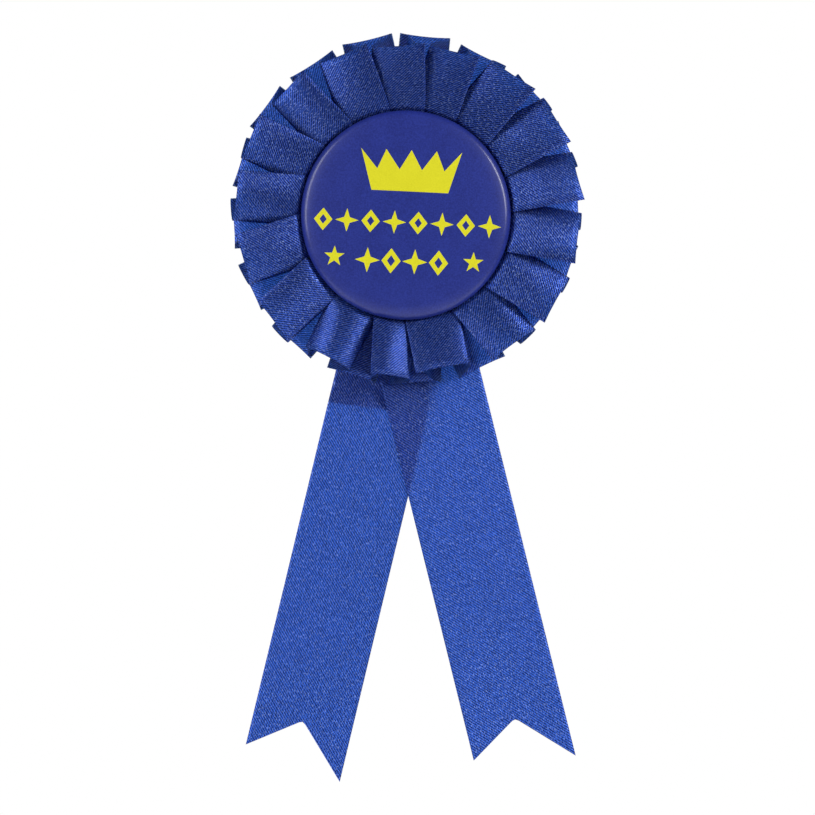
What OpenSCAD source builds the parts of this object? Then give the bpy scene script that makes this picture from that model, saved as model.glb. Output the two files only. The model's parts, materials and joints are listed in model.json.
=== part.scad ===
// Award ribbon: a pleated rosette with a button badge and two swallowtail streamers,
// worn on clothing by the brooch pin on its back.
// Frame: the ribbon hangs upright with its face towards -Y, +Z is up, and the origin
// is the middle of the brooch needle's axis.

/* [Badge] */
// Diameter of the button badge
badge_d = 52; // [47:0.5:54]
// Radius of the badge's domed face
dome_r = 160; // [120:5:220]
// Radius of the badge's rolled rim
rim_r = 1.8; // [1.5:0.1:2.2]
// How far the badge's centre lies below the rosette's centre
badge_drop = 1.2; // [0:0.1:1.4]

/* [Rosette] */
// Number of box pleats
pleats = 17; // [15:1:18]
// Distance from the centre to the cut edge of the front folds
front_r = 42.6; // [41.5:0.1:43.5]
// Distance from the centre to the cut edge of the rear folds
rear_r = 43.9; // [43.6:0.1:45]
// Radius of the hole in the middle of the ruffle
ruffle_hole_r = 19; // [18.8:0.1:20]
// Width of a front fold at its cut edge
front_fold_w = 11.6; // [10.8:0.1:12.2]
// Width of a rear fold at its cut edge
rear_fold_w = 12.4; // [11.5:0.1:13]
// Thickness of the ruffle from its back to its front folds
ruffle_t = 4.2; // [3.5:0.1:5]
// Radius of the card disc behind the ruffle
base_disc_r = 24; // [23:0.5:26]
// Radius of the felt cover on the back
cover_r = 23; // [22.8:0.1:26]

/* [Streamers] */
// Width of the satin ribbon
ribbon_w = 25; // [24:0.5:26]
// Thickness of a streamer
ribbon_t = 0.3; // [0.2:0.05:0.35]
// Lean of the rear streamer, which hangs to the left
left_lean = 13.5; // [10:0.5:15]
// Lean of the front streamer, which hangs to the right
right_lean = 13.9; // [10:0.1:15]
// Length of the rear streamer to its longer tip, from the rosette's centre
left_len = 143.5; // [110:0.5:170]
// Length of the front streamer to its longer tip, from the rosette's centre
right_len = 143; // [110:0.5:170]
// Depth of the swallowtail notch
notch_depth = 12.6; // [6:0.1:18]

/* [Brooch pin] */
// Length of the bar
bar_l = 33; // [32:0.5:36]
// Width of the bar
bar_w = 5; // [4.6:0.1:6]
// Radius of the needle
needle_r = 0.4; // [0.3:0.05:0.45]
// Distance from the bar's back to the needle's axis
needle_gap = 3.2; // [3.1:0.1:4]
// Distance from the needle's middle to the rivet
rivet_x = 13; // [12.5:0.1:13.4]

/* [Hidden] */
$fn = 96;
bite = 0.3;          // how far joined solids run into each other

// The rosette's centre lies this far below the needle.
centre_z = -8;

// Depths, each counted forwards from the needle's axis.
bar_t = 0.6;
tape_t = 0.6;
cover_t = 1.0;
tail_gap = 0.3;      // air between the two streamers
disc_t = 1.0;
bar_back = needle_gap;
tape_back = bar_back + bar_t;
cover_back = tape_back + tape_t;
left_back = cover_back + cover_t;
right_back = left_back + ribbon_t + tail_gap;
disc_back = right_back + ribbon_t;
ruffle_back = disc_back + disc_t;
ruffle_front = ruffle_back + ruffle_t;

// Badge: film, paper and tinplate lie one in another, with a hair of air between.
badge_gap = 0.2;     // air between the ruffle and the badge's rim
film_t = 0.1;
print_t = 0.12;
shell_t = 0.28;
layer_air = 0.02;
print_depth = film_t + layer_air;
shell_depth = print_depth + print_t + layer_air;
shell_inside = shell_depth + shell_t;
rim_x = badge_d / 2 - rim_r;
rim_z = ruffle_front + badge_gap + rim_r;
rim_angle = asin(rim_x / (dome_r - rim_r));
dome_z = rim_z - (dome_r - rim_r) * cos(rim_angle);
film_end = -55;      // the film and the paper end round the rim's underside
print_end = -70;
dome_steps = 8;
rim_steps = 14;
lip_r = 22;          // inner edge of the shell's turned-in lip
collet_t = 0.3;
collet_r = rim_x - 0.2;
collet_wall_h = 1.3;
collet_back = rim_z - (rim_r - shell_inside);
pad_r = 17.2;

// Ruffle
pitch = 360 / pleats;
first_fold = -3.5;   // angle of the topmost front fold from straight up
front_touch_r = 27;  // where neighbouring front folds meet
rear_touch_r = 40;
rear_layer_t = 0.8;
front_layer_t = 0.6;
channel_r = 28.5;    // inner end of the channel inside a fold
channel_inner_w = 8;
fold_wall = 0.7;
stitch_r = 20.5;
stitch_w = 0.4;
stitch_l = 3;
stitch_t = 0.35;

// Streamers, with each length counted down the streamer from the rosette's centre.
left_x = 4.8;        // where each streamer's middle line passes the centre's height
right_x = -4.1;
top_rise = 10;       // how far the glued ends reach above the centre
left_hinge_s = 50.6; // the pressed crease, where the rear streamer folds
right_hinge_s = 47;  // just below the rosette, where the front streamer folds
hinge_above = 0.4;   // the fixed end stops this far above the fold line
hinge_below = 0.3;   // the free part starts this far below it
left_outer_tip = 3.6;  // how much shorter the outer or inner tip is
right_inner_tip = 4.9;

// Brooch pin
bar_hole_r = 1;
bar_hole_x = 6;
ear_r = 1.2;
ear_t = 0.5;
ear_inside = 1.25;   // from the middle to an ear's inner face
rivet_r = 0.5;
rivet_air = 0.02;
eye_air = 0.03;      // running fit of the needle's eye on the rivet
eye_r = 1.15;
eye_h = 2.3;
rivet_head_r = 0.9;
rivet_head_t = 0.4;
taper_x = 9.5;       // where the needle starts to taper
tip_x = 13.8;
tip_r = 0.06;
catch_x = 11.5;      // the catch's housing
catch_l = 2.2;
catch_r = 2.1;
catch_bore_r = 1.53;
catch_slot = 1.3;
catch_neck = 1.8;
roller_r = 1.5;      // running fit in the housing
roller_bore_r = 0.75;
roller_slot = 1.2;
flange_r = 1.95;
flange_t = 0.5;
flange_air = 0.1;
lever_r = 3;
lever_w = 0.9;
lever_angle = 35;    // at rest, from straight back towards up
tape_l = 29;
tape_w = 4.4;

satin_blue = [0.16, 0.26, 0.60];
badge_blue = [0.15, 0.21, 0.51];
steel = [0.74, 0.75, 0.77];

// Turns a shape drawn face on (x right, y up, z forwards) into the part's frame.
module face_on() {
    rotate([90, 0, 0])
        children();
}

module at_rosette() {
    face_on()
        translate([0, centre_z, 0])
            children();
}

module at_badge() {
    at_rosette()
        translate([0, -badge_drop, 0])
            children();
}

module slab(back, thickness) {
    translate([0, 0, back])
        linear_extrude(thickness)
            children();
}

// Extrudes along x an outline drawn with x as up and y as forwards.
module along_x(start, length) {
    translate([start, 0, 0])
        rotate([90, 0, 90])
            linear_extrude(length)
                children();
}

function arc(cx, cy, r, from, to, steps) = [
    for (i = [0:steps])
        let (a = from + (to - from) * i / steps)
            [cx + r * cos(a), cy + r * sin(a)]
];

function tail_of(points) = [for (i = [1:len(points) - 1]) points[i]];

function backwards(points) = [for (i = [len(points) - 1:-1:0]) points[i]];

// The badge's section at a depth below its outer face: the dome, then the rolled rim.
function badge_line(depth, end_angle) = concat(
    arc(0, dome_z, dome_r - depth, 90, 90 - rim_angle, dome_steps),
    tail_of(arc(rim_x, rim_z, rim_r - depth, 90 - rim_angle, end_angle, rim_steps))
);

module badge_layer(depth, thickness, end_angle) {
    rotate_extrude()
        polygon(concat(
            badge_line(depth, end_angle),
            backwards(badge_line(depth + thickness, end_angle))
        ));
}

module badge_film() {
    color(badge_blue, 0.4)
        at_badge()
            badge_layer(0, film_t, film_end);
}

module badge_print() {
    color(badge_blue)
        at_badge()
            badge_layer(print_depth, print_t, print_end);
}

// The tinplate shell ends in a flat lip turned in over the collet.
module badge_shell() {
    lip_back = rim_z - (rim_r - shell_depth);
    lip_front = rim_z - (rim_r - shell_inside);
    color(steel)
        at_badge()
            rotate_extrude()
                polygon(concat(
                    badge_line(shell_depth, -90),
                    [[lip_r, lip_back], [lip_r, lip_front]],
                    backwards(badge_line(shell_inside, -90))
                ));
}

module badge_collet() {
    color(steel)
        at_badge()
            difference() {
                slab(collet_back, collet_t + collet_wall_h)
                    circle(collet_r);
                slab(collet_back + collet_t, collet_wall_h + bite)
                    circle(collet_r - collet_t);
            }
}

module badge_pad() {
    color("white")
        at_badge()
            slab(ruffle_back, collet_back - ruffle_back)
                circle(pad_r);
}

// Points turned clockwise by a fold's angle from straight up.
function turned(x, y, a) = [x * cos(a) + y * sin(a), y * cos(a) - x * sin(a)];

// A ring of straight-cut folds, each valley running in to where neighbours touch.
module fold_star(edge_r, edge_w, touch_r, start) {
    polygon([
        for (i = [0:pleats - 1])
            let (a = start + i * pitch)
                each [
                    turned(-edge_w / 2, edge_r, a),
                    turned(edge_w / 2, edge_r, a),
                    turned(0, touch_r, a + pitch / 2)
                ]
    ]);
}

// The space inside each box pleat, open at the cut edge.
module fold_channels() {
    outer_w = front_fold_w - 2 * fold_wall;
    for (i = [0:pleats - 1])
        rotate(-(first_fold + i * pitch))
            polygon([
                [-channel_inner_w / 2, channel_r],
                [channel_inner_w / 2, channel_r],
                [outer_w / 2, rear_r + bite],
                [-outer_w / 2, rear_r + bite]
            ]);
}

module ruffle() {
    color(satin_blue)
        at_rosette()
            difference() {
                union() {
                    slab(ruffle_back, ruffle_t)
                        fold_star(front_r, front_fold_w, front_touch_r, first_fold);
                    slab(ruffle_back, rear_layer_t)
                        fold_star(rear_r, rear_fold_w, rear_touch_r, first_fold + pitch / 2);
                }
                slab(ruffle_back - bite, ruffle_t + 2 * bite)
                    circle(ruffle_hole_r);
                slab(ruffle_back + rear_layer_t, ruffle_t - rear_layer_t - front_layer_t)
                    fold_channels();
            }
}

// Running stitches that gather the ribbon's inner edge, one over each fold.
module ruffle_stitches() {
    color("navy")
        at_rosette()
            for (i = [0:pleats - 1])
                rotate(-(first_fold + i * pitch))
                    slab(ruffle_front, stitch_t)
                        translate([-stitch_l / 2, stitch_r - stitch_w / 2])
                            square([stitch_l, stitch_w]);
}

module base_disc() {
    color("tan")
        at_rosette()
            slab(disc_back, disc_t)
                circle(base_disc_r);
}

// Hot glue: four dabs join the disc to the cover, and one joins the crossed streamers.
module glue_dabs() {
    cover_dabs = [[-8, 18], [8, 18], [-20.3, -3], [20.3, -3]];
    cover_dab_r = 2.2;
    cross_dab_r = 5;
    color("ivory")
        at_rosette() {
            for (p = cover_dabs)
                slab(left_back, disc_back - left_back)
                    translate(p)
                        circle(cover_dab_r);
            slab(left_back + ribbon_t, tail_gap)
                circle(cross_dab_r);
        }
}

module at_left_tail() {
    at_rosette()
        translate([left_x, 0, left_back])
            rotate(-left_lean)
                linear_extrude(ribbon_t)
                    children();
}

module at_right_tail() {
    at_rosette()
        translate([right_x, 0, right_back])
            rotate(right_lean)
                linear_extrude(ribbon_t)
                    children();
}

// The glued end of a streamer, from above the centre down to its fold line.
module fixed_outline(hinge_s) {
    length = top_rise + hinge_s - hinge_above;
    translate([-ribbon_w / 2, top_rise - length])
        square([ribbon_w, length]);
}

// The free part of a streamer, with its swallowtail.
module free_outline(hinge_s, left_tip, right_tip) {
    side = ribbon_w / 2;
    start = hinge_s + hinge_below;
    notch = max(left_tip, right_tip) - notch_depth;
    polygon([
        [-side, -start],
        [side, -start],
        [side, -right_tip],
        [0, -notch],
        [-side, -left_tip]
    ]);
}

module left_tail_top() {
    color(satin_blue)
        at_left_tail()
            fixed_outline(left_hinge_s);
}

module right_tail_top() {
    color(satin_blue)
        at_right_tail()
            fixed_outline(right_hinge_s);
}

module left_tail() {
    color(satin_blue)
        at_left_tail()
            free_outline(left_hinge_s, left_len - left_outer_tip, left_len);
}

module right_tail() {
    color(satin_blue)
        at_right_tail()
            free_outline(right_hinge_s, right_len - right_inner_tip, right_len);
}

module rear_cover() {
    color("midnightblue")
        at_rosette()
            slab(cover_back, cover_t)
                circle(cover_r);
}

// A strip with round ends.
module strip(length, width) {
    square([length - width, width], center = true);
    for (side = [-1, 1])
        translate([side * (length - width) / 2, 0])
            circle(width / 2);
}

module pin_tape() {
    color("white")
        face_on()
            slab(tape_back, tape_t)
                strip(tape_l, tape_w);
}

module ear() {
    rotate([90, 0, 0])
        linear_extrude(ear_t, center = true) {
            circle(ear_r);
            translate([-ear_r, 0])
                square([2 * ear_r, needle_gap + bite]);
        }
}

module catch_section() {
    difference() {
        union() {
            circle(catch_r);
            translate([-catch_neck / 2, 0])
                square([catch_neck, needle_gap + bite]);
        }
        circle(catch_bore_r);
        translate([-catch_slot / 2, -catch_r - bite])
            square([catch_slot, catch_r + bite]);
    }
}

// The bar, its two ears for the rivet and the catch's slotted housing.
module pin_bar() {
    color(steel)
        face_on()
            difference() {
                union() {
                    slab(bar_back, bar_t)
                        strip(bar_l, bar_w);
                    for (side = [-1, 1])
                        translate([-rivet_x, side * (ear_inside + ear_t / 2), 0])
                            ear();
                    along_x(catch_x, catch_l)
                        catch_section();
                }
                for (side = [-1, 1])
                    translate([side * bar_hole_x, 0, bar_back - bite])
                        cylinder(h = bar_t + 2 * bite, r = bar_hole_r);
                translate([-rivet_x, 0, 0])
                    rotate([90, 0, 0])
                        cylinder(h = 2 * (ear_inside + ear_t + bite), r = rivet_r + rivet_air,
                                 center = true);
            }
}

module pin_rivet() {
    shank = 2 * (ear_inside + ear_t);
    color(steel)
        face_on()
            translate([-rivet_x, 0, 0])
                rotate([90, 0, 0]) {
                    cylinder(h = shank + bite, r = rivet_r, center = true);
                    for (side = [-1, 1])
                        translate([0, 0, side * (shank + rivet_head_t) / 2])
                            cylinder(h = rivet_head_t, r = rivet_head_r, center = true);
                }
}

// The needle and the eye that it swings on.
module pin_stem() {
    shank_x = -rivet_x + (rivet_r + eye_r) / 2;
    color(steel)
        face_on()
            difference() {
                union() {
                    translate([-rivet_x, 0, 0])
                        rotate([90, 0, 0])
                            cylinder(h = eye_h, r = eye_r, center = true);
                    translate([shank_x, 0, 0])
                        rotate([0, 90, 0])
                            cylinder(h = taper_x - shank_x, r = needle_r);
                    translate([taper_x, 0, 0])
                        rotate([0, 90, 0])
                            cylinder(h = tip_x - taper_x, r1 = needle_r, r2 = tip_r);
                }
                translate([-rivet_x, 0, 0])
                    rotate([90, 0, 0])
                        cylinder(h = eye_h + 2 * bite, r = rivet_r + eye_air, center = true);
            }
}

module roller_section(outer_r) {
    difference() {
        circle(outer_r);
        circle(roller_bore_r);
        translate([-roller_slot / 2, -outer_r - bite])
            square([roller_slot, outer_r + bite]);
    }
}

module lever_section() {
    root_r = (roller_r + roller_bore_r) / 2;
    rotate(lever_angle - 90)
        translate([root_r, -lever_w / 2])
            square([lever_r - root_r, lever_w]);
}

// The split tube that turns in the housing and shuts the needle in.
module catch_roller() {
    inner_flange_x = catch_x - flange_air - flange_t;
    outer_flange_x = catch_x + catch_l + flange_air;
    color(steel)
        face_on() {
            along_x(inner_flange_x, outer_flange_x + flange_t - inner_flange_x)
                roller_section(roller_r);
            for (x = [inner_flange_x, outer_flange_x])
                along_x(x, flange_t)
                    roller_section(flange_r);
            along_x(outer_flange_x, flange_t)
                lever_section();
        }
}

badge_film();
badge_print();
badge_shell();
badge_collet();
badge_pad();
ruffle();
ruffle_stitches();
base_disc();
glue_dabs();
left_tail_top();
right_tail_top();
left_tail();
right_tail();
rear_cover();
pin_tape();
pin_bar();
pin_rivet();
pin_stem();
catch_roller();
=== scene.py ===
import json
import math
import random

import bpy
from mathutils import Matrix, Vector, geometry, noise


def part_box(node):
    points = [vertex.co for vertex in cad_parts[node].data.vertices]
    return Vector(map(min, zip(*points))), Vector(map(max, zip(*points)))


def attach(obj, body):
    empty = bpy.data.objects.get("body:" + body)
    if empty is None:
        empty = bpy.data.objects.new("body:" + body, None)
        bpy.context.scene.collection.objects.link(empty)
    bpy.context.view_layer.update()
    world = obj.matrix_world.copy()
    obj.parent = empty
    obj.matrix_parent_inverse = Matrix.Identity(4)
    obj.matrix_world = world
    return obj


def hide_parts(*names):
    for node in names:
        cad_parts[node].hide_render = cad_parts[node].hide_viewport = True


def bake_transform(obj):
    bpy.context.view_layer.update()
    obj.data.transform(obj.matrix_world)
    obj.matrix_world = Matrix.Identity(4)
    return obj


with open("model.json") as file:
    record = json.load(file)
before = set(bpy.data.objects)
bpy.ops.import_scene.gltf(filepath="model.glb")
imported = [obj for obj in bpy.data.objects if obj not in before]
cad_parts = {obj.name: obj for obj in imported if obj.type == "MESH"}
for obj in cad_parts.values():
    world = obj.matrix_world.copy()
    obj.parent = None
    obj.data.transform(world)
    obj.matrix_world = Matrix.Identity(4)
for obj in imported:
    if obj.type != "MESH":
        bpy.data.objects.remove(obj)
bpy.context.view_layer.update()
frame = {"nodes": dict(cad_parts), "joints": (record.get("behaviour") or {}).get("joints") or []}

# Lengths below are millimetres in a face-on frame: x to the right, up, and forward out of
# the ribbon's face, all counted from the brooch needle's axis, as in the CAD model.
MM = 0.001
RIBBON_W = 25.0
RIBBON_T = 0.15
TWILL_ANGLE = math.radians(44.4)  # the satin's diagonal, from the ribbon's length
TWILL_PITCH = 0.55
RIB_PITCH = 0.78


def place(x, up, forward):
    """A face-on point in the frame's metres."""
    return Vector((x * MM, -forward * MM, up * MM))


def extent(node):
    """A node's left, right, lowest, highest, rearmost and foremost places."""
    lo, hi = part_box(node)
    return lo.x / MM, hi.x / MM, lo.z / MM, hi.z / MM, -hi.y / MM, -lo.y / MM


def centre_of(node):
    """A node's middle, seen face on."""
    left, right, low, high, _, _ = extent(node)
    return (left + right) / 2, (low + high) / 2


def circle_angles(steps):
    return [math.tau * i / steps for i in range(steps)]


def mix(a, b, share):
    """a at share 0, b at share 1, and in between on a straight line."""
    return a + (b - a) * share


def ease(value, start=0.0, end=1.0):
    """0 before start, 1 after end, and smooth between."""
    x = min(max((value - start) / (end - start), 0.0), 1.0)
    return x * x * (3 - 2 * x)


# ------------------------------------------------------------------ mesh helpers


def new_object(name, verts, faces, material_list, face_materials=None, smooth=True):
    mesh = bpy.data.meshes.new(name)
    mesh.from_pydata(verts, [], faces)
    for material in material_list:
        mesh.materials.append(material)
    if face_materials:
        mesh.polygons.foreach_set("material_index", face_materials)
    mesh.polygons.foreach_set("use_smooth", [smooth] * len(faces))
    mesh.validate()
    mesh.update()
    piece = bpy.data.objects.new(name, mesh)
    bpy.context.collection.objects.link(piece)
    return piece


def grid_faces(rows, columns, closed=False, flip=False):
    """Quads of a grid whose points are stored row by row."""
    faces = []
    for row in range(rows - 1):
        this = row * columns
        following = this + columns
        for column in range(columns if closed else columns - 1):
            beside = (column + 1) % columns
            quad = (this + column, this + beside, following + beside, following + column)
            faces.append(quad[::-1] if flip else quad)
    return faces


def lay_weave(piece, coordinates):
    """Stores each vertex's place on the flat cloth, in metres, as the piece's UV map."""
    layer = piece.data.uv_layers.new(name="weave")
    for loop in piece.data.loops:
        along, across = coordinates[loop.vertex_index]
        layer.data[loop.index].uv = (along * MM, across * MM)


def thicken(piece, thickness, back_slot):
    """Gives cloth its thickness behind its right side, with another finish on the back."""
    solid = piece.modifiers.new("thickness", "SOLIDIFY")
    solid.thickness = thickness * MM
    solid.offset = -1
    solid.material_offset = back_slot
    solid.use_even_offset = False


# ------------------------------------------------------------------ materials

# Scales of grain are in lumps per metre, and depths of bumps are in metres.
WAVE_TURN = 20  # the wave texture turns by this many radians per unit of length


class Shader:
    """A material with its Principled node and short ways to wire nodes to it."""

    def __init__(self, name, colour, roughness, **sockets):
        self.material = bpy.data.materials.new(name)
        self.material.use_nodes = True
        self.tree = self.material.node_tree
        self.bsdf = self.tree.nodes["Principled BSDF"]
        self.output = self.tree.nodes["Material Output"]
        self.bsdf.inputs["Base Color"].default_value = (*colour, 1)
        self.bsdf.inputs["Roughness"].default_value = roughness
        for socket, value in sockets.items():
            self.bsdf.inputs[socket.replace("_", " ").title()].default_value = value

    def node(self, kind, inputs=None, **settings):
        made = self.tree.nodes.new(kind)
        for key, value in settings.items():
            setattr(made, key, value)
        for key, value in (inputs or {}).items():
            if isinstance(value, bpy.types.NodeSocket):
                self.tree.links.new(value, made.inputs[key])
            else:
                made.inputs[key].default_value = value
        return made

    def link(self, source, socket):
        self.tree.links.new(source, self.bsdf.inputs[socket])

    def surface_point(self):
        return self.node("ShaderNodeTexCoord").outputs["Object"]

    def cloth_point(self, scale=(1000, 1000, 1000)):
        """A place on the flat cloth, along and across it, in millimetres unless scaled otherwise."""
        uv = self.node("ShaderNodeUVMap", uv_map="weave").outputs[0]
        return self.scaled(uv, scale)

    def scaled(self, point, scale):
        return self.node("ShaderNodeMapping", {"Vector": point, "Scale": scale}).outputs[0]

    def rotated(self, point, angle):
        """A place on the flat cloth, turned in the cloth's plane."""
        inputs = {"Vector": point, "Angle": angle}
        return self.node("ShaderNodeVectorRotate", inputs, rotation_type="Z_AXIS").outputs[0]

    def speckle(self, point, scale, detail=2.0, roughness=0.5):
        inputs = {"Vector": point, "Scale": scale, "Detail": detail, "Roughness": roughness}
        return self.node("ShaderNodeTexNoise", inputs).outputs["Fac"]

    def stripes(self, point, pitch, distortion):
        """Soft stripes that repeat every pitch along x."""
        inputs = {
            "Vector": point,
            "Scale": math.tau / WAVE_TURN / pitch,
            "Distortion": distortion,
            "Detail": 1,
            "Detail Scale": 1.5,
        }
        return self.node("ShaderNodeTexWave", inputs).outputs["Fac"]

    def maths(self, operation, a, b=0.0, c=0.0):
        return self.node("ShaderNodeMath", {0: a, 1: b, 2: c}, operation=operation).outputs[0]

    def span(self, value, low, high, to_low=0.0, to_high=1.0):
        """Stretches the range from low to high over another range, and cuts off the rest."""
        inputs = {
            "Value": value,
            "From Min": low,
            "From Max": high,
            "To Min": to_low,
            "To Max": to_high,
        }
        return self.node("ShaderNodeMapRange", inputs, clamp=True).outputs[0]

    def blend(self, share, a, b):
        """Colour a at share 0 and colour b at share 1."""
        made = self.node("ShaderNodeMix", data_type="RGBA")
        for socket, value in ((made.inputs[0], share), (made.inputs[6], a), (made.inputs[7], b)):
            if isinstance(value, bpy.types.NodeSocket):
                self.tree.links.new(value, socket)
            elif isinstance(value, float):
                socket.default_value = value
            else:
                socket.default_value = (*value, 1)
        return made.outputs[2]

    def bump(self, height, strength, distance):
        inputs = {"Height": height, "Strength": strength, "Distance": distance}
        self.link(self.node("ShaderNodeBump", inputs).outputs[0], "Normal")


def satin(name, tones, gloss, translucent, lean):
    """Woven satin: diagonal floats, lengthwise threads, painted glints where threads catch the light,
    and a sheen across the floats.

    tones are the cloth's dark and light colours, the colour of its painted glints, and its
    colour against the light. translucent is the share of the light that the cloth lets
    through. lean is 1 on the right side of the cloth and -1 on its back, where the diagonal mirrors.
    """
    dark, light, glint, glow = tones
    s = Shader(name, light, 0.45, metallic=gloss, anisotropic=0.8)
    s.bsdf.inputs["Anisotropic Rotation"].default_value = 0.25
    s.bsdf.inputs["Specular IOR Level"].default_value = 0.25
    tangent = s.node("ShaderNodeTangent", direction_type="UV_MAP", uv_map="weave")
    s.link(tangent.outputs[0], "Tangent")
    flat = s.cloth_point()
    twill = s.stripes(s.rotated(flat, math.pi / 2 - lean * TWILL_ANGLE), TWILL_PITCH, 0.4)
    ribs = s.stripes(s.rotated(flat, math.pi / 2), RIB_PITCH, 1.5)
    floats = s.speckle(s.cloth_point((900, 2600, 1)), 1, 1.0)
    # painted glints: scattered specks that tint the cloth towards the near-white glint colour, a
    # painted highlight of threads catching the light
    painted_glints = s.span(s.speckle(s.cloth_point((1500, 3600, 9)), 1, 1.0), 0.56, 0.70)
    patches = s.speckle(s.cloth_point((200, 700, 1)), 1, 2.0)
    woven = s.maths("MULTIPLY_ADD", twill, 0.55, s.maths("MULTIPLY", ribs, 0.10))
    grain = s.maths("MULTIPLY_ADD", floats, 0.6, woven)
    shade = s.span(s.maths("MULTIPLY_ADD", patches, 0.2, grain), 0.48, 1.0)
    colour = s.blend(shade, dark, light)
    # the painted glints are mixed into the base colour here
    s.link(s.blend(s.maths("MULTIPLY", painted_glints, 0.85), colour, glint), "Base Color")
    s.link(s.span(shade, 0, 1, 0.54, 0.40), "Roughness")
    s.bump(grain, 0.7, 0.00008)
    lit = s.blend(shade, tuple(channel * 0.3 for channel in glow), glow)
    through = s.node("ShaderNodeBsdfTranslucent", {"Color": lit}).outputs[0]
    shares = {0: translucent, 1: s.bsdf.outputs[0], 2: through}
    shared = s.node("ShaderNodeMixShader", shares)
    s.tree.links.new(shared.outputs[0], s.output.inputs["Surface"])
    return s.material


def printed(name, colour, lighter):
    """Slightly mottled ink under a clear satin film with a faint orange peel."""
    s = Shader(name, colour, 0.5, coat_weight=0.5, coat_roughness=0.26)
    s.bsdf.inputs["Specular IOR Level"].default_value = 0.2
    point = s.surface_point()
    cloud = s.speckle(point, 180, 3.0)
    grain = s.speckle(point, 2600, 1.0)
    mottle = s.maths("MULTIPLY_ADD", grain, 0.7, s.maths("MULTIPLY", cloud, 0.3))
    s.link(s.blend(s.span(mottle, 0.35, 0.65), colour, lighter), "Base Color")
    s.link(s.span(s.speckle(point, 2200), 0.3, 0.7, 0.48, 0.62), "Roughness")
    s.bump(s.speckle(point, 2200, 1.0), 0.6, 0.00004)
    return s.material


def sheet_metal(name, colour, roughness, grain, scratch):
    """Plated or tinned steel with fine drawn lines and handling scratches."""
    s = Shader(name, colour, roughness, metallic=1.0, anisotropic=0.3)
    point = s.surface_point()
    lines = s.speckle(s.scaled(point, grain), 1, 3.0)
    stains = s.speckle(point, 260, 3.0)
    worn = tuple(channel * 0.72 for channel in colour)
    s.link(s.blend(s.span(stains, 0.35, 0.75), colour, worn), "Base Color")
    mixed = s.maths("ADD", s.maths("MULTIPLY", lines, 0.6), s.maths("MULTIPLY", stains, 0.4))
    s.link(s.span(mixed, 0.3, 0.7, roughness - 0.08, roughness + 0.14), "Roughness")
    s.bump(lines, scratch, 0.00001)
    return s.material


def felt(name, colour, lighter):
    """Pressed wool felt: matted fibres with a soft, fuzzy edge to the light."""
    s = Shader(name, colour, 0.95, sheen_weight=0.12, sheen_roughness=0.5)
    point = s.surface_point()
    level = s.speckle(s.scaled(point, (900, 900, 3000)), 1, 3.0, 0.65)
    upright = s.speckle(s.scaled(point, (3000, 900, 900)), 1, 3.0, 0.65)
    fibres = s.maths("ADD", s.maths("MULTIPLY", level, 0.5), s.maths("MULTIPLY", upright, 0.5))
    s.link(s.blend(s.span(fibres, 0.38, 0.66), colour, lighter), "Base Color")
    s.bump(fibres, 0.8, 0.00025)
    return s.material


def grained(name, colour, darker, scale, roughness, depth, **sockets):
    """A plain material with its own fine grain: card, foam, glue or thread."""
    s = Shader(name, colour, roughness, **sockets)
    point = s.surface_point()
    grain = s.speckle(point, scale, 4.0, 0.6)
    s.link(s.blend(s.span(grain, 0.35, 0.68), darker, colour), "Base Color")
    s.link(s.span(grain, 0.3, 0.7, roughness - 0.08, roughness + 0.08), "Roughness")
    s.bump(grain, 0.5, depth)
    return s.material


# each satin's tones: dark, light, the painted glint colour, and its colour against the light
SATIN_TONES = (0.005, 0.010, 0.078), (0.046, 0.117, 0.620), (0.30, 0.42, 0.90), (0.08, 0.225, 0.86)
BACK_TONES = (0.003, 0.008, 0.050), (0.014, 0.036, 0.190), (0.05, 0.10, 0.32), (0.6, 0.8, 1.0)
SATIN = satin("satin_face", SATIN_TONES, 0.6, 0.42, 1)
SATIN_BACK = satin("satin_back", BACK_TONES, 0.1, 0.75, -1)
BADGE_BLUE = printed("badge_ink_blue", (0.008, 0.016, 0.155), (0.014, 0.027, 0.225))
BADGE_YELLOW = printed("badge_ink_yellow", (0.58, 0.55, 0.010), (0.62, 0.59, 0.014))
TINPLATE = sheet_metal("tinplate", (0.72, 0.72, 0.72), 0.30, (300, 300, 3000), 0.15)
NICKEL = sheet_metal("nickel_plate", (0.62, 0.61, 0.58), 0.30, (300, 2500, 2500), 0.06)
FELT = felt("felt", (0.010, 0.014, 0.055), (0.030, 0.042, 0.130))
CARD = grained("card", (0.46, 0.36, 0.24), (0.30, 0.23, 0.15), 900, 0.85, 0.00008)
FOAM = grained("foam", (0.82, 0.82, 0.80), (0.62, 0.62, 0.60), 3500, 0.9, 0.0001)
GLUE = grained("hot_glue", (0.80, 0.76, 0.62), (0.68, 0.63, 0.50), 700, 0.35, 0.00004)
THREAD = grained("thread", (0.020, 0.030, 0.15), (0.008, 0.012, 0.06), 6000, 0.7, 0.00005)

NODE_MATERIALS = {
    "badge_shell": TINPLATE,
    "badge_collet": TINPLATE,
    "badge_pad": FOAM,
    "ruffle_stitches": THREAD,
    "base_disc": CARD,
    "glue_dabs": GLUE,
    "pin_tape": FOAM,
    "pin_bar": NICKEL,
    "pin_rivet": NICKEL,
    "pin_stem": NICKEL,
    "catch_roller": NICKEL,
}


def dress_cad_nodes():
    for name, material in NODE_MATERIALS.items():
        node = frame["nodes"][name]
        for slot in node.material_slots:
            slot.link = "OBJECT"
            slot.material = material


# ------------------------------------------------------------------ ruffle

FOLDS = 17
FIRST_FOLD = -3.5  # the topmost front fold's angle from straight up, clockwise
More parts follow.
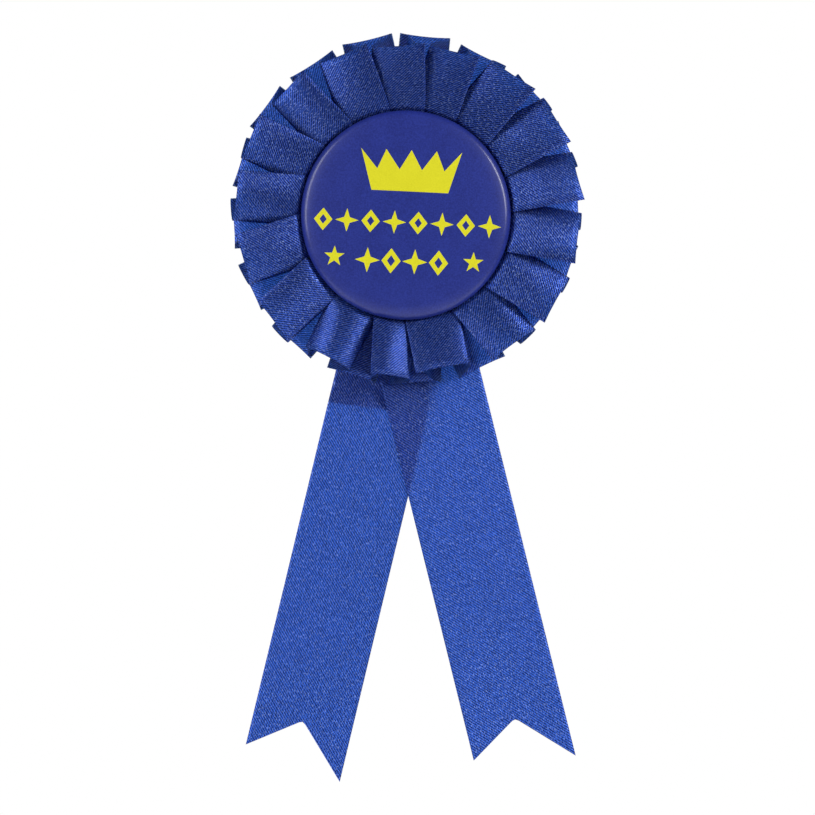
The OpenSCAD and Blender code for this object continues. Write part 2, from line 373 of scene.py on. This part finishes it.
# How far each front fold has been pushed round from its even place, in degrees.
FOLD_SWAY = (0, -2, -1.5, -2.5, -3.5, -3.5, -3, -3, 0, -0.5, 1, 2.5, 4, 4, 3, 2, 2)
FOLD_W = (12.6, 12, 12.4, 12.6, 12, 12.4, 12.4, 12.6, 13.2, 9.6, 12.2, 12, 12.2, 12, 11.2, 10.8, 12.2)
# How far the cut edge of each front fold stands out from the even depth, and how far it
# has slid in towards the badge: the two lowest folds sag forwards.
FOLD_LIFT = (0.6, 0, 0.4, 0.2, 0.5, 0.2, 0.6, 0.8, 2.3, 2.2, 1.4, 0.3, 0.5, 0, 0.4, 0.2, 0.3)
FOLD_SLIDE = (2, 1.9, 0.7, 0.4, 0.9, 1.3, 1.1, 1.9, 4.1, 2.7, 2.3, 0.3, 0.6, 0.2, -0.3, 0.1, 0.8)
# How far each front fold's trailing side rolls back out of sight.
FOLD_ROLL = (1.5, 1.6, 2.4, 3.2, 3.8, 3.0, 2.3, 1.8, 1.6, 3.2, 1.8, 2.0, 2.2, 2.4, 2.6, 2.1, 1.8)
# How much each front fold leans aside on its way out, clockwise.
FOLD_LEAN = (0, 0.01, -0.01, 0.01, 0, -0.01, 0.01, 0, 0.1, 0, 0.01, -0.01, 0, 0.01, 0, -0.01, 0.01)
# Where across each front fold it stands highest, from its trailing crease to its leading one.
FOLD_CREST = (0.9, 0.9, 0.95, 0.95, 1, 0.75, 0.7, 0.6, 0.7, 0.9, 0.4, 0.65, 0.65, 0.65, 0.7, 0.7, 0.75)
FRONT_LEANS = Vector((1.0, -0.7))  # the front folds' cut edges sit off centre, right and low
REAR_LEANS = Vector((0, 0.4))  # and the rear folds' cut edges a little high
REAR_W = 11.7
EDGE_DIP = 0.25  # how far a fold's cut edge is drawn in at its middle
FRONT_STEPS = 13  # across a front fold
REAR_STEPS = 9  # across a rear fold
WALL_POINTS = 9
CREASE_POINTS = 4
CREASE_R = 0.14
RUFFLE_IN = 18.9  # radius of the ribbon's sewn edge
BESIDE_BADGE = (25.1, 27)  # the folds dip under the badge between these distances from its middle
SQUEEZE_R = 26  # inside this radius the folds narrow towards the sewn edge
RUFFLE_ROWS = (0, 0.12, 0.2, 0.25, 0.29, 0.33, 0.37, 0.43, 0.5, 0.57, 0.64, 0.71, 0.78, 0.85, 0.92, 1)


class Ruffle:
    """The box-pleated ribbon, as points on its right side."""

    def __init__(self):
        left, right, _, _, back, front = extent("ruffle")
        self.x, self.up = centre_of("base_disc")
        self.badge_x, self.badge_up = centre_of("badge_film")
        self.rear_edge = (right - left) / 2 - 0.8
        self.front_edge = self.rear_edge + 0.2
        self.rear_depth = back + 0.25
        self.front_depth = front - 1.1
        draw = random.Random(17)
        self.edge_slope = [draw.uniform(-0.35, 0.35) for _ in range(FOLDS)]
        self.rear_slide = [draw.uniform(-0.3, 0.3) for _ in range(FOLDS)]

    def angle(self, fold):
        """A front fold's angle, which may count past a full turn."""
        turns, k = divmod(fold, FOLDS)
        return math.radians(FIRST_FOLD + 360 * turns + k * 360 / FOLDS + FOLD_SWAY[k])

    def rear_angle(self, fold):
        return (self.angle(fold) + self.angle(fold + 1)) / 2

    def plan(self, angle, t, r, leans):
        """A face-on place, at a radius and a step t aside from it."""
        drift = leans * self.openness(r)
        x = self.x + r * math.sin(angle) + t * math.cos(angle) + drift.x
        up = self.up + r * math.cos(angle) - t * math.sin(angle) + drift.y
        return x, up

    def openness(self, r):
        return min(max((r - SQUEEZE_R) / (self.front_edge - SQUEEZE_R), 0.0), 1.0)

    def front(self, fold, v, s):
        """A point of a front fold: v from the sewn edge to the cut edge, s clockwise.

        Both run from 0 to 1.
        """
        k = fold % FOLDS
        side = 2 * s - 1
        hollow = EDGE_DIP * (1 - side * side)
        edge = self.front_edge - FOLD_SLIDE[k] + (self.edge_slope[k] * side - hollow) * ease(v)
        r = mix(RUFFLE_IN, edge, v)
        opened = self.openness(r)
        width = FOLD_W[k] * min(1.0, r / SQUEEZE_R)
        t = side * width / 2 + FOLD_LEAN[k] * (r - SQUEEZE_R)
        x, up = self.plan(self.angle(fold), t, r, FRONT_LEANS)
        beside = ease(math.hypot(x - self.badge_x, up - self.badge_up), *BESIDE_BADGE)
        lift = mix(-0.1, mix(2.8, 2.4 + FOLD_LIFT[k], opened), beside)
        tilt = mix(0.3, 0.0, opened) * side
        roll = mix(0.7, FOLD_ROLL[k], ease(r, 25, 36))
        crown = roll * (1 - ((s - FOLD_CREST[k]) / FOLD_CREST[k]) ** 2)
        return rippled(x, up, self.front_depth + lift + tilt + crown)

    def rear(self, fold, v, s):
        """A point of the rear fold that follows a front fold."""
        k = fold % FOLDS
        side = 2 * s - 1
        hollow = EDGE_DIP * (1 - side * side) * ease(v)
        r = mix(RUFFLE_IN, self.rear_edge + self.rear_slide[k] - hollow, v)
        opened = self.openness(r)
        width = REAR_W * min(1.0, r / SQUEEZE_R)
        angle = self.rear_angle(fold)
        upwards = 0.9 * side * math.sin(angle)
        forward = self.rear_depth + mix((1 - s) * 0.9, 0.75 + upwards, opened)
        return rippled(*self.plan(angle, side * width / 2, r, REAR_LEANS), forward)

    def section(self, fold, v):
        """One box pleat across the ribbon's length, from a front fold to the next."""
        back = Vector((0, 0, -2 * CREASE_R))
        front = [self.front(fold, v, i / FRONT_STEPS) for i in range(FRONT_STEPS + 1)]
        rear = [self.rear(fold, v, i / REAR_STEPS) for i in range(REAR_STEPS + 1)]
        following = self.front(fold + 1, v, 0), self.front(fold + 1, v, 1 / FRONT_STEPS)
        front_way = (front[-1] - front[-2]).normalized()
        rear_in = (rear[1] - rear[0]).normalized()
        rear_out = (rear[-1] - rear[-2]).normalized()
        next_way = (following[1] - following[0]).normalized()
        points = front + crease(front[-1], front[-1] + back, front_way)
        points += wall(front[-1] + back, rear[0] - back, front_way, rear_in)
        points += crease(rear[0] - back, rear[0], -rear_in)
        points += rear + crease(rear[-1], rear[-1] - back, rear_out)
        points += wall(rear[-1] - back, following[0] + back, -rear_out, -next_way)
        points += crease(following[0] + back, following[0], -next_way)
        return points


def rippled(x, up, forward):
    """A point of the cloth, moved by its faint unevenness."""
    ripple = 0.12 * noise.noise(Vector((x * 0.16, up * 0.16, forward * 0.3)))
    return Vector((x, up, forward + ripple))


def crease(start, end, outwards):
    """The rounded turn of a crease, without its two end points."""
    points = []
    for i in range(CREASE_POINTS):
        turn = math.pi * (i + 1) / (CREASE_POINTS + 1)
        between = start.lerp(end, (1 - math.cos(turn)) / 2)
        points.append(between + outwards * (CREASE_R * math.sin(turn)))
    return points


def wall(start, end, start_way, end_way):
    """The side of a pleat, which lies flat by both creases and bends between them."""
    reach = (end - start).length * 0.45
    start_pull = start - start_way * reach
    end_pull = end + end_way * reach
    points = geometry.interpolate_bezier(start, start_pull, end_pull, end, WALL_POINTS)
    return [Vector(point) for point in points]


def make_ruffle():
    shape = Ruffle()
    rows = []
    for v in RUFFLE_ROWS:
        row = []
        for fold in range(FOLDS):
            row += shape.section(fold, v)
        rows.append(row)
    columns = len(rows[0])
    cut_edge = rows[-1]
    along = [0.0]
    for before, after in zip(cut_edge, cut_edge[1:]):
        along.append(along[-1] + (after - before).length)
    length = along[-1] + (cut_edge[0] - cut_edge[-1]).length
    verts = [place(*point) for row in rows for point in row]
    faces = grid_faces(len(rows), columns, closed=True)
    ruffle = new_object("ruffle_ribbon", verts, faces, [SATIN, SATIN_BACK])
    cloth = [(travel, v * RIBBON_W) for v in RUFFLE_ROWS for travel in along]
    lay_weave(ruffle, cloth)
    close_weave_seam(ruffle, length)
    thicken(ruffle, RIBBON_T, 1)
    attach(ruffle, "rosette")
    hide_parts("ruffle")
    return ruffle


def close_weave_seam(ruffle, length):
    """The last faces run on to the ribbon's full length instead of back to its start."""
    layer = ruffle.data.uv_layers["weave"]
    for face in ruffle.data.polygons:
        ends = [layer.data[i].uv for i in face.loop_indices]
        if max(uv.x for uv in ends) > 0.5 * length * MM:
            for uv in ends:
                if uv.x < 0.25 * length * MM:
                    uv.x += length * MM


# ------------------------------------------------------------------ streamers


class Streamer:
    """A swallowtail ribbon that hangs from the rosette, laid out from one joint's hinge.

    tips and notch are how far down from the fold line its two tips and its notch are,
    notch_round is how much of the half width the notch's rounding takes, and
    crease_slope is how steeply its pressed crease runs across it.
    """

    def __init__(self, node, joint, tips, notch, notch_round, crease_slope):
        found = next(j for j in frame["joints"] if j["name"] == joint)
        pos = Vector(found["pos_m"]) / MM
        axis = Vector(found["axis"])
        across = axis if axis.x > 0 else -axis
        self.node, self.body = node, found["child"]
        self.hinge = Vector((pos.x, pos.z))
        self.across = Vector((across.x, across.z)).normalized()
        self.down = Vector((self.across.y, -self.across.x))
        self.middle_depth = -pos.y
        self.tips, self.notch, self.notch_round = tips, notch, notch_round
        self.crease_slope = crease_slope

    def plan(self, u, s):
        """A face-on place, u across from the middle line and s down from the fold line."""
        return self.hinge + self.across * u + self.down * s

    def crease(self, u):
        """How far down its pressed crease is at u, a little aslant of the fold line."""
        return self.crease_slope * u * RIBBON_W / 2

    def end(self, u):
        """How far down the cut end is at u, which runs from -1 to 1."""
        tip = self.tips[0] if u < 0 else self.tips[1]
        share = abs(u)
        if share < self.notch_round:
            share = (u * u / self.notch_round + self.notch_round) / 2
        return mix(self.notch, tip, share)


TAIL_COLUMNS = 33
TAIL_ACROSS = [2 * column / (TAIL_COLUMNS - 1) - 1 for column in range(TAIL_COLUMNS)]
TAIL_TOP = -60.6  # the glued end, above the fold line
TAIL_ROW = 1.6
CREASE_REACH = 14  # the rows slant with the crease this close to it, and lie finer above it
SHARP = 0.2  # the crease's bend takes this much on either side of it
LAYER_GAP = 0.31  # from the front of a doubled ribbon to its back
TURN_STEPS = 6  # round the turn at the top of a doubled ribbon
FAN_REACH = 12  # from this far above the notch, the rows fan out to the swallowtail's shape
FANNED_ROWS = 22
BEND_ABOVE = 4  # a span about the joint's fold line: from this far above it
BEND_BELOW = 5  # to this far below it


def levels(start, end, step):
    """Even steps from start, which stop short of end."""
    count = round((end - start) / step)
    return [mix(start, end, i / count) for i in range(count)]


def hanging_rows(shape, top, folded_back):
    """The ribbon's rows: for each column, how far down it is and how far behind the front.

    A folded-back ribbon starts at its crease, runs up behind, and turns over at the top.
    """
    last_level = shape.notch - FAN_REACH

    def row(s, behind):
        slant = max(0.0, 1 - abs(s) / CREASE_REACH)
        return [(s + slant * shape.crease(u), behind) for u in TAIL_ACROSS]

    upper = levels(top, -CREASE_REACH, TAIL_ROW) + levels(-CREASE_REACH, -SHARP, TAIL_ROW / 2)
    upper += [-SHARP, 0]
    lower = levels(SHARP, last_level, TAIL_ROW) + [last_level]
    rows = []
    if folded_back:
        r = LAYER_GAP / 2
        rows += [row(s, LAYER_GAP) for s in reversed(upper)]
        for i in range(1, TURN_STEPS):
            turn = math.pi * i / TURN_STEPS
            rows.append([(top - r * math.sin(turn), r + r * math.cos(turn))] * TAIL_COLUMNS)
    rows += [row(s, 0.0) for s in upper + lower]
    for i in range(1, FANNED_ROWS + 1):
        rows.append([(mix(last_level, shape.end(u), i / FANNED_ROWS), 0.0) for u in TAIL_ACROSS])
    return rows


def make_streamer(name, shape, surface, top, folded_back=False):
    """Builds a streamer as one ribbon. surface gives its depth from u and s."""
    rows = hanging_rows(shape, top, folded_back)
    verts, cloth = [], []
    along = [-s for s, behind in rows[0]]
    above = [None] * TAIL_COLUMNS
    for row in rows:
        for column, (s, behind) in enumerate(row):
            u = TAIL_ACROSS[column]
            point = place(*shape.plan(u * RIBBON_W / 2, s), surface(u, s) - behind)
            if above[column]:
                along[column] += (point - above[column]).length / MM
            above[column] = point
            verts.append(point)
            cloth.append((along[column], u * RIBBON_W / 2))
    faces = grid_faces(len(rows), TAIL_COLUMNS, flip=True)
    piece = new_object(name, verts, faces, [SATIN, SATIN_BACK])
    lay_weave(piece, cloth)
    thicken(piece, RIBBON_T, 1)
    start = shape.plan(0, -BEND_ABOVE)
    end = shape.plan(0, BEND_BELOW)
    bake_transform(piece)
    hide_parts(shape.node, shape.node + "_top")
    tip = max(shape.tips)
    length = tip - top
    if folded_back:
        length -= top
    return piece


def make_streamers():
    """Builds both streamers. Each lies flat where it is glued, and waves softly as it hangs."""
    left = Streamer("left_tail", "left_streamer_flex", (89.3, 92.9), 80.3, 0.05, -0.105)
    right = Streamer("right_tail", "right_streamer_flex", (91.1, 96.0), 83.4, 0.05, 0)

    def left_surface(u, s):
        """The left one also lies hollow just above its pressed crease."""
        below = s - left.crease(u)
        sunk = ease(below, -24, -5.5) - min(max(0.0, 1 + below / 5), 1.0) ** 1.3
        free = ease(s, 22, 70)
        wave = free * (0.6 * math.sin(s * 0.07 + 0.6) + 0.3 * math.sin(s * 0.05 + 2.2 * u))
        wave += 1.0 * ease(s, 60, 130)
        return left.middle_depth + RIBBON_T - 1.5 * sunk + wave

    def right_surface(u, s):
        free = ease(s, 22, 70)
        wave = free * (0.6 * math.sin(s * 0.065 + 1.3) + 0.3 * math.sin(s * 0.045 - 2 * u + 1))
        wave += 1.6 * ease(s, 60, 130)
        return right.middle_depth + RIBBON_T / 2 + wave

    make_streamer("left_streamer_ribbon", left, left_surface, TAIL_TOP, folded_back=True)
    make_streamer("right_streamer_ribbon", right, right_surface, TAIL_TOP + 4)


# ------------------------------------------------------------------ badge

DOME_R = 160.0
RIM_R = 1.8
SHOULDER_IN = 21  # from this radius the film softens the turn into the rim
SHOULDER_TILT = math.radians(10)  # how much more the film leans outwards there
RIM_UNDER = math.radians(-55)
RIM_STEPS = 16  # round the rim's own turn
ART_TURN = math.radians(-2.7)  # the print sits a little crooked
RING_STEPS = 144  # round the badge
DOME_RINGS = 12


class BadgeShape:
    """The film's outer face: a shallow dome that runs into a rolled rim."""

    def __init__(self):
        left, right, _, _, _, front = extent("badge_film")
        self.x, self.up = centre_of("badge_film")
        self.rim_x = (right - left) / 2 - RIM_R
        self.turn = math.asin(self.rim_x / (DOME_R - RIM_R))
        self.dome_centre = front - DOME_R
        self.rim_centre = self.dome_centre + (DOME_R - RIM_R) * math.cos(self.turn)
        self.dome_edge = DOME_R * math.sin(self.turn)

    def on_dome(self, x, up):
        """A point of the dome, x and up from its middle."""
        forward = self.dome_centre + math.sqrt(DOME_R ** 2 - x * x - up * up)
        return place(self.x + x, self.up + up, forward)

    def dome_tilt(self, r):
        """How far the film's light-catching face leans outwards at a radius of the dome."""
        return math.asin(r / DOME_R) + SHOULDER_TILT * ease(r, SHOULDER_IN, self.dome_edge) ** 1.5

    def rim_tilt(self, bend):
        """The same at a bend of the rim, from the soft shoulder to its real round."""
        tilt = math.pi / 2 - bend
        return tilt + SHOULDER_TILT * max(0.0, bend) / (math.pi / 2 - self.turn)

    def on_rim(self, around, bend):
        """A point of the rim: around it clockwise, and bend forwards from its widest place."""
        r = self.rim_x + RIM_R * math.cos(bend)
        forward = self.rim_centre + RIM_R * math.sin(bend)
        return place(self.x + r * math.sin(around), self.up + r * math.cos(around), forward)


def star(x, up, outer, inner, points):
    outline = []
    for i, around in enumerate(circle_angles(2 * points)):
        r = inner if i % 2 else outer
        outline.append((x + r * math.sin(around), up + r * math.cos(around)))
    return outline


def lozenge(x, up, half_w, half_h):
    return [(x - half_w, up), (x, up + half_h), (x + half_w, up), (x, up - half_h)]


def ring(r, steps):
    return [(r * math.sin(around), r * math.cos(around)) for around in circle_angles(steps)]


def crown(x, up):
    """A plain zigzag crown over a band, as one outline."""
    base_half, top_half, height, band = 9.5, 12.5, 10.3, 5.4
    outline = [(x - base_half, up), (x - top_half, up + height)]
    spikes = 5
    for i in range(spikes - 1):
        valley = mix(-1, 1, (i + 0.5) / (spikes - 1))
        peak = mix(-1, 1, (i + 1) / (spikes - 1))
        valley_half = mix(base_half, top_half, band / height)
        outline.append((x + valley * valley_half, up + band))
        outline.append((x + peak * top_half, up + height))
    outline.append((x + base_half, up))
    return outline


def badge_art():
    """Generic ornaments, as (outline, holes) about the badge's centre before the turn."""
    art = [(crown(0.7, 5.7), [])]
    for i in range(8):
        x = mix(-20.6, 20.6, i / 7) + 0.2
        if i % 2:
            art.append((star(x, -2, 2.9, 1.0, 4), []))
        else:
            art.append((lozenge(x, -2, 2.3, 2.8), [lozenge(x, -2, 0.9, 1.2)]))
    for i in range(4):
        x = mix(-8.8, 8.8, i / 3) - 0.2
        if i % 2:
            art.append((lozenge(x, -11.6, 2.4, 3.1), [lozenge(x, -11.6, 1.0, 1.4)]))
        else:
            art.append((star(x, -11.6, 3.1, 1.1, 4), []))
    for side in (-1, 1):
        art.append((star(side * 17.2, -11.1, 2.65, 1.05, 5), []))
    return art


def turned(outline):
    """An outline of the art, turned with the print."""
    cosine = math.cos(ART_TURN)
    sine = math.sin(ART_TURN)
    return [(x * cosine - up * sine, x * sine + up * cosine) for x, up in outline]


class FlatPrint:
    """The badge's print before it is domed: a disc, the ornaments in it, and their holes."""

    def __init__(self, radius):
        self.points = []
        self.outlines = []
        self.disc = self.add(ring(radius, RING_STEPS))
        self.ornaments = set()
        self.holes = set()
        for outline, holes in badge_art():
            self.ornaments.add(self.add(turned(outline)))
            for hole in holes:
                self.holes.add(self.add(turned(hole)))
        for step in range(1, DOME_RINGS):
            self.points += map(Vector, ring(radius * step / DOME_RINGS, DOME_RINGS * step))
        self.points.append(Vector((0, 0)))

    def add(self, outline):
        """Adds an outline, counter-clockwise, and returns its number."""
        start = len(self.points)
        self.points += map(Vector, reversed(outline))
        self.outlines.append(list(range(start, start + len(outline))))
        return len(self.outlines) - 1

    def triangles(self):
        """Its vertices, its triangles, and for each triangle 1 for an ornament or 0 for not."""
        cut = geometry.delaunay_2d_cdt(self.points, [], self.outlines, 0, 1e-5)
        verts, _, found, _, _, owners_of = cut
        faces = []
        inks = []
        for triangle, owners in zip(found, owners_of):
            ornament = self.ornaments.intersection(owners)
            if self.disc not in owners and not ornament:
                continue
            (ax, ay), (bx, by), (cx, cy) = (verts[i] for i in triangle)
            counter_clockwise = (bx - ax) * (cy - ay) - (by - ay) * (cx - ax) > 0
            faces.append(list(triangle) if counter_clockwise else list(triangle)[::-1])
            inks.append(1 if ornament and not self.holes.intersection(owners) else 0)
        return verts, faces, inks


def make_badge_face():
    """The printed face and its rolled rim, with normals that soften the shoulder."""
    shape = BadgeShape()
    flat, faces, inks = FlatPrint(shape.dome_edge).triangles()
    verts = [shape.on_dome(p.x, p.y) for p in flat]
    normals = [leaning(math.atan2(p.x, p.y), shape.dome_tilt(p.length)) for p in flat]
    rim_start = len(verts)
    for i in range(RIM_STEPS + 1):
        bend = mix(math.pi / 2 - shape.turn, RIM_UNDER, i / RIM_STEPS)
        for around in circle_angles(RING_STEPS):
            verts.append(shape.on_rim(around, bend))
            normals.append(leaning(around, shape.rim_tilt(bend)))
    rim = grid_faces(RIM_STEPS + 1, RING_STEPS, closed=True)
    faces += [[rim_start + i for i in quad] for quad in rim]
    inks += [0] * len(rim)
    face = new_object("badge_face", verts, faces, [BADGE_BLUE, BADGE_YELLOW], inks)
    face.data.normals_split_custom_set_from_vertices(normals)
    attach(face, "rosette")
    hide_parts("badge_film", "badge_print")
    return face


def leaning(around, tilt):
    """A direction that leans out from straight forward, towards around."""
    out = math.sin(tilt)
    return Vector((out * math.sin(around), -math.cos(tilt), out * math.cos(around)))


# ------------------------------------------------------------------ felt cover

FELT_STEPS = 120  # round the disc


def make_felt_cover():
    """The felt disc on the back, with a soft rounded edge and a slightly uneven face."""
    left, right, _, _, back, front = extent("rear_cover")
    x, up = centre_of("rear_cover")
    radius = (right - left) / 2
    soft = (front - back) / 2
    profile = [(r, back) for r in (0.0, 6.0, 12.0, 17.0, radius - 2.2)]
    for i in range(9):
        turn = math.pi * i / 8
        out = radius - soft + soft * math.sin(turn)
        profile.append((out, back + soft - soft * math.cos(turn)))
    profile += [(r, front) for r in (radius - 3, 12.0, 0.0)]
    verts = []
    for r, forward in profile:
        for around in circle_angles(FELT_STEPS):
            sine = math.sin(around)
            cosine = math.cos(around)
            wobble = 1 + 0.006 * noise.noise(Vector((sine * 3, cosine * 3, 0)))
            aside = r * wobble * sine
            above = r * wobble * cosine
            lump = 0.10 * noise.noise(Vector((aside * 0.25, above * 0.25, 5)))
            away = lump * ease(abs(forward - front), 0.1, soft)
            verts.append(place(x + aside, up + above, forward + away))
    faces = grid_faces(len(profile), FELT_STEPS, closed=True, flip=True)
    cover = new_object("felt_cover", verts, faces, [FELT])
    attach(cover, "rosette")
    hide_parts("rear_cover")
    return cover


# ------------------------------------------------------------------ stage

CAMERA_AWAY = 900.0  # from the streamers' plane
CAMERA_ASIDE = 0.4  # right of the badge's middle
CAMERA_BELOW = 47.7  # below the badge's middle
SENSOR_W = 36
FRAME_SHOWS = 203.75  # how much of the streamers' plane the picture is wide
FLOOR_R = 420
FLOOR_DROP = 90  # below the streamers' tips
WORLD_LIGHT = 0.10  # the world looks white to the camera and lights the ribbon this much


def make_camera():
    x, up = centre_of("badge_film")
    depth = extent("right_tail")[5]
    data = bpy.data.cameras.new("camera")
    data.sensor_width = SENSOR_W
    data.lens = SENSOR_W * CAMERA_AWAY / FRAME_SHOWS
    data.clip_end = 20
    camera = bpy.data.objects.new("camera", data)
    camera.location = place(x + CAMERA_ASIDE, up - CAMERA_BELOW, depth + CAMERA_AWAY)
    camera.rotation_euler = (math.pi / 2, 0, 0)
    bpy.context.collection.objects.link(camera)
    bpy.context.scene.camera = camera


def make_light(name, location, size, power, glossy=True):
    """A soft box that faces the ribbon. Its place and size are in the frame's metres."""
    data = bpy.data.lights.new(name, "AREA")
    data.shape = "RECTANGLE"
    data.size, data.size_y = size
    data.energy = power
    light = bpy.data.objects.new(name, data)
    light.location = location
    light.visible_camera = False
    light.visible_glossy = glossy
    aim = Vector((0, 0, -0.05)) - Vector(location)
    light.rotation_euler = aim.to_track_quat("-Z", "Y").to_euler()
    bpy.context.collection.objects.link(light)


def make_world():
    world = bpy.data.worlds.new("studio")
    world.use_nodes = True
    tree = world.node_tree
    background = tree.nodes["Background"]
    path = tree.nodes.new("ShaderNodeLightPath")
    bright = tree.nodes.new("ShaderNodeMath")
    bright.operation = "MULTIPLY_ADD"
    bright.inputs[1].default_value = 1 - WORLD_LIGHT
    bright.inputs[2].default_value = WORLD_LIGHT
    tree.links.new(path.outputs["Is Camera Ray"], bright.inputs[0])
    tree.links.new(bright.outputs[0], background.inputs["Strength"])
    background.inputs["Color"].default_value = (1, 1, 1, 1)
    bpy.context.scene.world = world


def make_floor():
    """A plain pale disc that lies below the ribbon, and below the picture's edge."""
    pale = Shader("floor", (0.93, 0.93, 0.93), 0.9)
    grain = pale.speckle(pale.surface_point(), 300, 3.0)
    pale.link(pale.blend(grain, (0.91, 0.91, 0.91), (0.95, 0.95, 0.95)), "Base Color")
    lowest = min(extent("left_tail")[2], extent("right_tail")[2])
    level = (lowest - FLOOR_DROP) * MM
    radius = FLOOR_R * MM
    rim = [(radius * math.cos(a), radius * math.sin(a), level) for a in circle_angles(96)]
    floor = new_object("floor", rim, [tuple(range(len(rim)))], [pale.material], smooth=False)


def make_stage():
    make_floor()
    make_world()
    make_light("left_box", (-0.9, -0.6, 0.32), (0.5, 0.9), 11.5)
    make_light("right_box", (0.9, -0.6, 0.36), (0.22, 0.6), 12)
    make_light("rear_card", (0, 0.8, 0.2), (1.8, 1.4), 7)
    make_light("rear_glow", (0, 0.8, 0.5), (1.4, 1.0), 15, glossy=False)
    bpy.context.scene.view_settings.view_transform = "Standard"


make_camera()
make_stage()
dress_cad_nodes()
make_ruffle()
make_streamers()
make_badge_face()
make_felt_cover()
